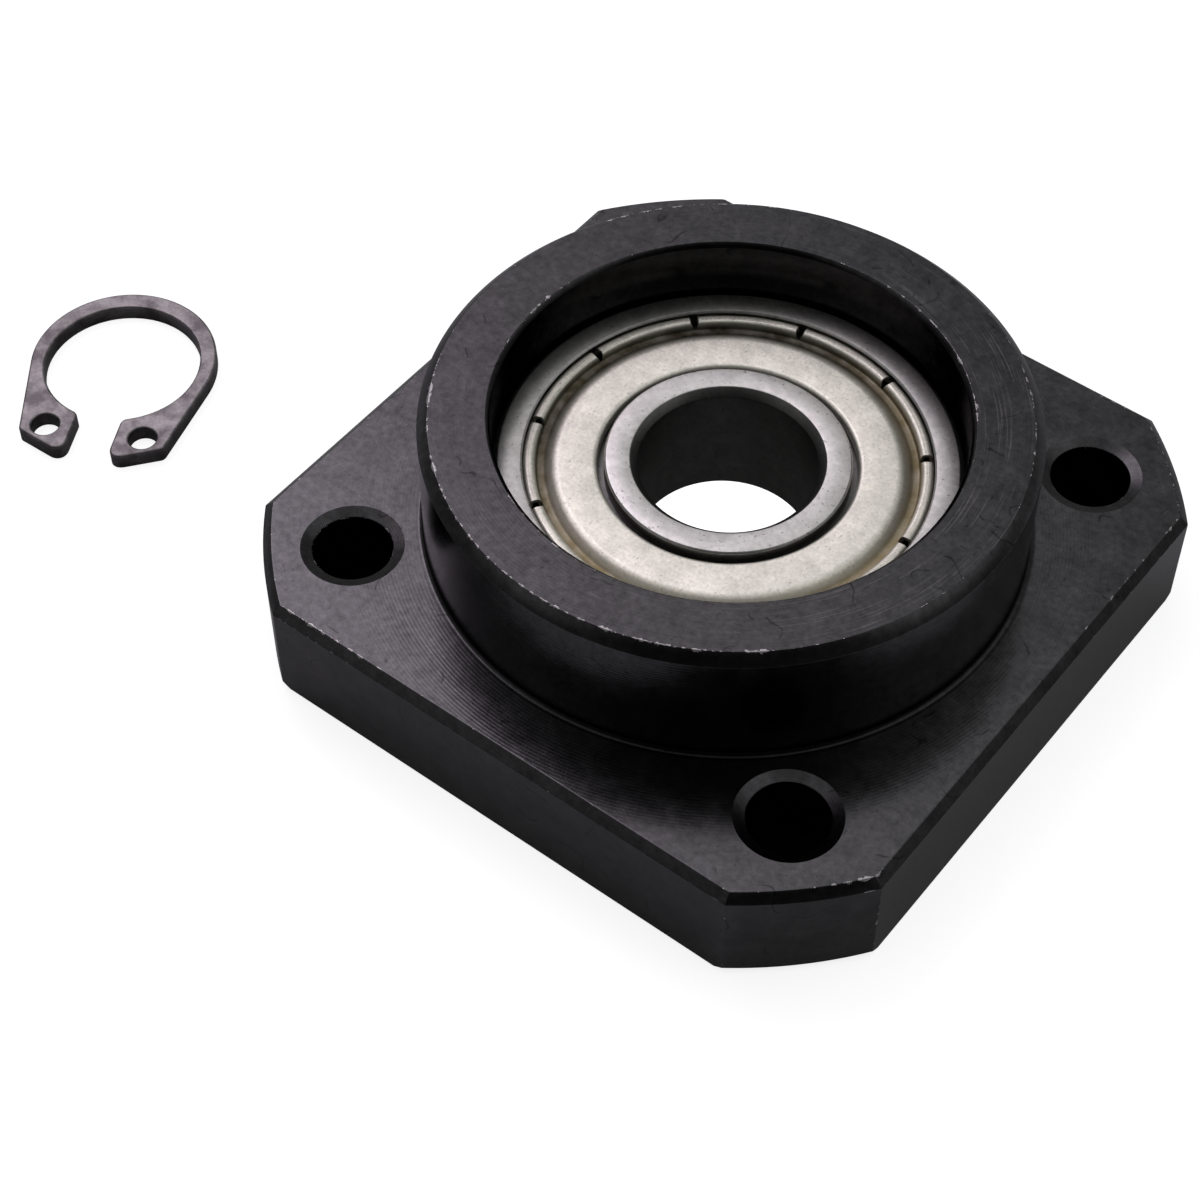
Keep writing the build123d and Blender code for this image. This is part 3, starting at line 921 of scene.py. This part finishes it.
satinSheet = {
    "tone": "#f2f0e5",
    "patchSize": 1.2,
    "patchLevels": (0.86, 1.1),
    "grainSize": 0.2,
    "grainLevels": (0.89, 1.09),
    "dimpleSize": 0.15,
    "drawnRings": 0.09,
    "streaks": (-0.22, 0.16),  # added to the level
    "pitSize": 0.13,
    "scratchSize": 0.12,
    "pitLevel": 0.68,
    "shadedGrease": "#29261f",
    "goldenGrease": "#8c8062",
    "greaseCover": (0.8, 1.0),
    "greaseEnd": 0.12,  # what is left of it at the bead's foot
    "roughness": 0.5,
    # round the axis: the grease is painted in shade, nearly black, towards the back left, and golden on the
    # right
    "greaseLitShare": (
        (-180, 0.25), (-156, 0.12), (-132, 0.5), (-108, 0.85), (0, 1.0), (33, 0.75), (60, 0.7), (90, 0.2),
        (123, 0.05), (180, 0.25)),
}


def pressedShieldSheet():
    # cold-rolled steel sheet, pressed: satin cream-grey and finely pitted, streaked round the bead where the
    # die drew it, with old grease dried brown in the channel
    material, tree, shader = newMaterial("pressedSatinSheetSteel")
    at = placeInMm(tree)
    s, f = shield, satinSheet
    cloud = addNode(tree, "TexNoise", {
        "Vector": at["spot"], "Scale": 1 / f["patchSize"], "Detail": 5.0, "Roughness": 0.6})
    fine = addNode(tree, "TexNoise", {"Vector": at["spot"], "Scale": 1 / f["grainSize"], "Detail": 3.0})
    dimples = addNode(tree, "TexNoise", {
        "Vector": at["spot"], "Scale": 1 / f["dimpleSize"], "Detail": 3.0})
    drawn = toolRings(tree, at, f["drawnRings"], breaks=2.5)
    onBead = addNode(tree, "MapRange", (at["radius"], s["channelOuter"], s["beadInner"], 0.0, 1.0))
    streaks = addNode(tree, "MapRange", (drawn, 0.35, 0.65, *f["streaks"]))
    pits = specks(tree, at, f["pitSize"], above=0.66)
    scratches = specks(tree, at, f["scratchSize"], above=0.68, stretch=(1, 0.3, 1))
    pits = addNode(tree, "Math", (pits, scratches), operation="MAXIMUM")
    tone = toLinear(f["tone"])[:3]
    for level in (
        addNode(tree, "MapRange", (cloud, 0.3, 0.7, *f["patchLevels"])),
        addNode(tree, "MapRange", (fine, 0.3, 0.7, *f["grainLevels"])),
        addNode(tree, "MapRange", (pits, 0.0, 1.0, 1.0, f["pitLevel"])),
        addNode(tree, "Math", (streaks, onBead, 1.0), operation="MULTIPLY_ADD"),
    ):
        tone = addNode(tree, "VectorMath", {0: tone, "Scale": level}, operation="SCALE")
    # the grease starts thin on the slope, lies thick in the channel and ends at the bead's foot
    stain = addNode(tree, "MapRange", (cloud, 0.3, 0.6, *f["greaseCover"]))
    for share in (
        addNode(tree, "MapRange", (at["radius"], s["flatOuter"] - 0.1, s["channelInner"], 0.0, 1.0)),
        addNode(tree, "MapRange", (
            at["radius"], s["channelOuter"], s["beadInner"] + 0.06, 1.0, f["greaseEnd"])),
    ):
        stain = addNode(tree, "Math", (stain, share), operation="MULTIPLY")
    # painted shade: the grease turns nearly black towards the back left
    greaseLitShare = byAngle(tree, at, f["greaseLitShare"])
    grease = addNode(tree, "MixRGB", (greaseLitShare, toLinear(f["shadedGrease"]), toLinear(f["goldenGrease"])))
    stained = addNode(tree, "MixRGB", (stain, tone, grease))
    tree.links.new(stained.outputs[0], shader.inputs["Base Color"])
    shader.inputs["Metallic"].default_value = 1.0
    shader.inputs["Roughness"].default_value = f["roughness"]
    height = addNode(tree, "Math", (drawn, onBead), operation="MULTIPLY")
    height = addNode(tree, "Math", (height, 1.8), operation="MULTIPLY")
    height = addNode(tree, "Math", (dimples, 2.4, height), operation="MULTIPLY_ADD")
    height = addNode(tree, "Math", (pits, -3.0, height), operation="MULTIPLY_ADD")
    bump = addNode(tree, "Bump", {"Height": height, "Strength": 1.0, "Distance": 0.001 * mm})
    tree.links.new(bump.outputs[0], shader.inputs["Normal"])
    return material


phosphate = {
    "dark": "#676365",
    "light": "#969293",
    "patchSize": 1.5,
    "crystalSize": 0.2,  # drawn several times too coarse so that they show
    "crystalLevels": (0.88, 1.12),
    "crystalHeight": 0.004,
    "flawLevel": 0.75,
    "wallShadeLevel": 0.4,  # the blanked walls are rough, and painted nearly black as shade
    "roughness": 0.45,
}


def phosphatedSpringSteel():
    # carbon spring steel, blanked and phosphated: brownish lilac-grey, clouded, with fine crystals, and
    # painted nearly black as shade on the rough blanked walls
    material, tree, shader = newMaterial("phosphatedSpringSteel")
    at = placeInMm(tree)
    f = phosphate
    cloud = addNode(tree, "TexNoise", {
        "Vector": at["spot"], "Scale": 1 / f["patchSize"], "Detail": 5.0, "Roughness": 0.6})
    crystals = addNode(tree, "TexNoise", {
        "Vector": at["spot"], "Scale": 1 / f["crystalSize"], "Detail": 3.0})
    patches = addNode(tree, "MapRange", (cloud, 0.38, 0.62, 0.0, 1.0))
    tone = addNode(tree, "MixRGB", (patches, toLinear(f["dark"]), toLinear(f["light"])))
    flaws = specks(tree, at, f["crystalSize"], above=0.7)
    top = ring["place"][2] + ring["thickness"]
    for level in (
        addNode(tree, "MapRange", (crystals, 0.3, 0.7, *f["crystalLevels"])),
        addNode(tree, "MapRange", (flaws, 0.0, 1.0, 1.0, f["flawLevel"])),
        # painted shade on the blanked walls
        addNode(tree, "MapRange", (at["z"], top - 0.2, top - 0.04, f["wallShadeLevel"], 1.0)),
    ):
        tone = addNode(tree, "VectorMath", {0: tone, "Scale": level}, operation="SCALE")
    tree.links.new(tone.outputs[0], shader.inputs["Base Color"])
    shader.inputs["Metallic"].default_value = 1.0
    shader.inputs["Roughness"].default_value = f["roughness"]
    bump = addNode(tree, "Bump", {"Height": crystals, "Strength": 1.0, "Distance": f["crystalHeight"] * mm})
    tree.links.new(bump.outputs[0], shader.inputs["Normal"])
    return material


def plainBearingMetal(name, hexColour, roughness):
    # lapped balls, the pressed cage and its headed rivets: bright steel with a faint grain of half a mm
    material, tree, shader = newMaterial(name)
    at = placeInMm(tree)
    cloud = addNode(tree, "TexNoise", {"Vector": at["spot"], "Scale": 1 / 0.5, "Detail": 3.0})
    shade = addNode(tree, "MapRange", (cloud, 0.3, 0.7, 0.95, 1.03))
    tone = addNode(tree, "VectorMath", {0: toLinear(hexColour)[:3], "Scale": shade}, operation="SCALE")
    tree.links.new(tone.outputs[0], shader.inputs["Base Color"])
    shader.inputs["Metallic"].default_value = 1.0
    shader.inputs["Roughness"].default_value = roughness
    return material


ringSteel = groundBearingSteel()
sheetSteel = pressedShieldSheet()
finishPiece(housingPiece, "support", blackOxideSteel(), "housing")
finishPiece(outerRingPiece, "support", ringSteel, "bearing_outer_ring")
finishPiece(innerRingPiece, "inner_ring", ringSteel, "bearing_inner_ring")
finishPiece(upperShield, "support", sheetSteel, "shield_upper")
finishPiece(lowerShield, "support", sheetSteel, "shield_lower")
finishPiece(retainingRingPiece, "support", phosphatedSpringSteel(), "retaining_ring")
# the balls and the cage keep their CAD meshes
hiddenMetals = {
    "ball": plainBearingMetal("lappedBallSteel", "#d6d6d8", 0.12),
    "cage": plainBearingMetal("pressedCageSteel", "#b9b3ad", 0.4),
}
for name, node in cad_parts.items():
    for kind, metal in hiddenMetals.items():
        if name.startswith(kind):
            node.data.materials.clear()
            node.data.materials.append(metal)
print("materials set")

# studio: white ground, dark room in front, soft light from high behind on the left

studio = {
    "floorHeight": -7.0,
    "floorSize": 4000.0,
    "floorGlow": 0.84,  # what the camera sees of the floor besides its own light
    "floorGlowInBore": 0.4,  # added to that where it shows through the bearing
    "floorGlowInMetal": 0.035,
    "paper": "#b8b8ba",
    "cameraPlace": (55.84, -83.36, 115.41),
    "cameraTurn": (39.0197, 0.0568, 37.7892),
    "lens": 81.442,  # mm, on a 36 mm sensor
    "roomLevel": 0.11,
    # each: degrees from +X, degrees up, full within, gone beyond, strength
    "discs": [
        (158, 51, 9, 18.5, 2.0),  # softbox
        (150, 51, 16, 25, 0.6),  # the wall that it lights
        (124, 0, 20, 90, 0.2),  # back of the tent
        (0, 90, 20, 46, 0.5),  # ceiling
        (35, 48, 12, 36, 0.45),  # right side of the tent
        (-130, 50, 12, 34, 0.27),  # left side of the tent
    ],
    "tintedDisc": (158, 51, 12, 24, 1.0),  # where the softbox has its own tint
    "softboxTint": "#fff3ff",
    "darkDisc": (-56, 42, 12, 55, 0.75),  # the tent's opening, where the camera looks in
}


def makeFloor():
    s = studio
    deselectAll()
    bpy.ops.mesh.primitive_plane_add(
        size=s["floorSize"] * mm, location=(0, 0, s["floorHeight"] * mm))
    floor = bpy.context.object
    floor.name = "floor"
    bpy.ops.object.transform_apply(location=True)
    material, tree, shader = newMaterial("whitePaperGround")
    at = placeInMm(tree)
    # painted shadow: the paper is painted black, with no glow, in a disc under each of the four screw holes,
    # where hardly any light gets down
    holeShadowRadius = housing["headRadius"] + 0.2
    clearOfHoleShadow = addNode(tree, "Math", (fromScrews(tree, at), holeShadowRadius), operation="GREATER_THAN")
    paper = addNode(tree, "MixRGB", (clearOfHoleShadow, (0, 0, 0, 1), toLinear(s["paper"])))
    tree.links.new(paper.outputs[0], shader.inputs["Base Color"])
    shader.inputs["Roughness"].default_value = 0.9
    seen = addNode(tree, "LightPath")
    look = addNode(tree, "Math", (
        seen.outputs["Is Camera Ray"], seen.outputs["Is Transmission Ray"]), operation="ADD")
    glow = addNode(tree, "MapRange", (
        at["radius"], housing["openingRadius"] - 1, housing["openingRadius"],
        s["floorGlow"] + s["floorGlowInBore"], s["floorGlow"]))
    gloss = addNode(tree, "Math", (
        seen.outputs["Is Glossy Ray"], s["floorGlowInMetal"]), operation="MULTIPLY")
    both = addNode(tree, "Math", (look, glow, gloss), operation="MULTIPLY_ADD")
    # painted shadow under the screw holes: no glow there
    both = addNode(tree, "Math", (both, clearOfHoleShadow), operation="MULTIPLY")
    light = addNode(tree, "Emission", {"Color": (1, 1, 1, 1), "Strength": both})
    mixed = addNode(tree, "AddShader", (shader, light))
    tree.links.new(mixed.outputs[0], tree.nodes["Material Output"].inputs["Surface"])
    floor.data.materials.append(material)


def softDisc(tree, way, disc):
    # a round light seen in one direction, which fades from full strength at one angle to none at another
    turn, rise, full, none, strength = disc
    turn, rise = radians(turn), radians(rise)
    centre = (cos(rise) * cos(turn), cos(rise) * sin(turn), sin(rise))
    near = addNode(tree, "VectorMath", (way, centre), operation="DOT_PRODUCT").outputs["Value"]
    return addNode(
        tree, "MapRange", (near, cos(radians(none)), cos(radians(full)), 0.0, strength),
        interpolation_type="SMOOTHSTEP")


def makeWorld():
    s = studio
    world = bpy.data.worlds.new("studioRoom")
    bpy.context.scene.world = world
    world.use_nodes = True
    tree = world.node_tree
    room = tree.nodes["Background"]
    coords = addNode(tree, "TexCoord")
    way = addNode(tree, "VectorMath", (coords.outputs["Generated"],), operation="NORMALIZE")
    light = s["roomLevel"]
    for disc in s["discs"]:
        light = addNode(tree, "Math", (light, softDisc(tree, way, disc)), operation="ADD")
    shade = addNode(tree, "Math", (1.0, softDisc(tree, way, s["darkDisc"])), operation="SUBTRACT")
    light = addNode(tree, "Math", (light, shade), operation="MULTIPLY")
    seen = addNode(tree, "LightPath")
    look = addNode(tree, "Math", (
        seen.outputs["Is Camera Ray"], seen.outputs["Is Transmission Ray"]), operation="ADD")
    strength = addNode(tree, "Mix", {0: look, 2: light, 3: 1.0}, data_type="FLOAT")
    tree.links.new(strength.outputs[0], room.inputs["Strength"])
    tinted = softDisc(tree, way, s["tintedDisc"])
    tinted = addNode(tree, "Math", (tinted, look), operation="SUBTRACT", use_clamp=True)
    colour = addNode(tree, "MixRGB", (tinted, (1, 1, 1, 1), toLinear(s["softboxTint"])))
    tree.links.new(colour.outputs[0], room.inputs["Color"])


def makeCamera():
    s = studio
    deselectAll()
    bpy.ops.object.camera_add(
        location=[length * mm for length in s["cameraPlace"]],
        rotation=[radians(turn) for turn in s["cameraTurn"]])
    camera = bpy.context.object
    camera.data.lens = s["lens"]
    camera.data.sensor_width = 36.0
    camera.data.clip_start, camera.data.clip_end = 1 * mm, 10.0
    bpy.context.scene.camera = camera


makeFloor()
makeWorld()
makeCamera()
bpy.context.scene.view_settings.view_transform = "Standard"
print("studio set")
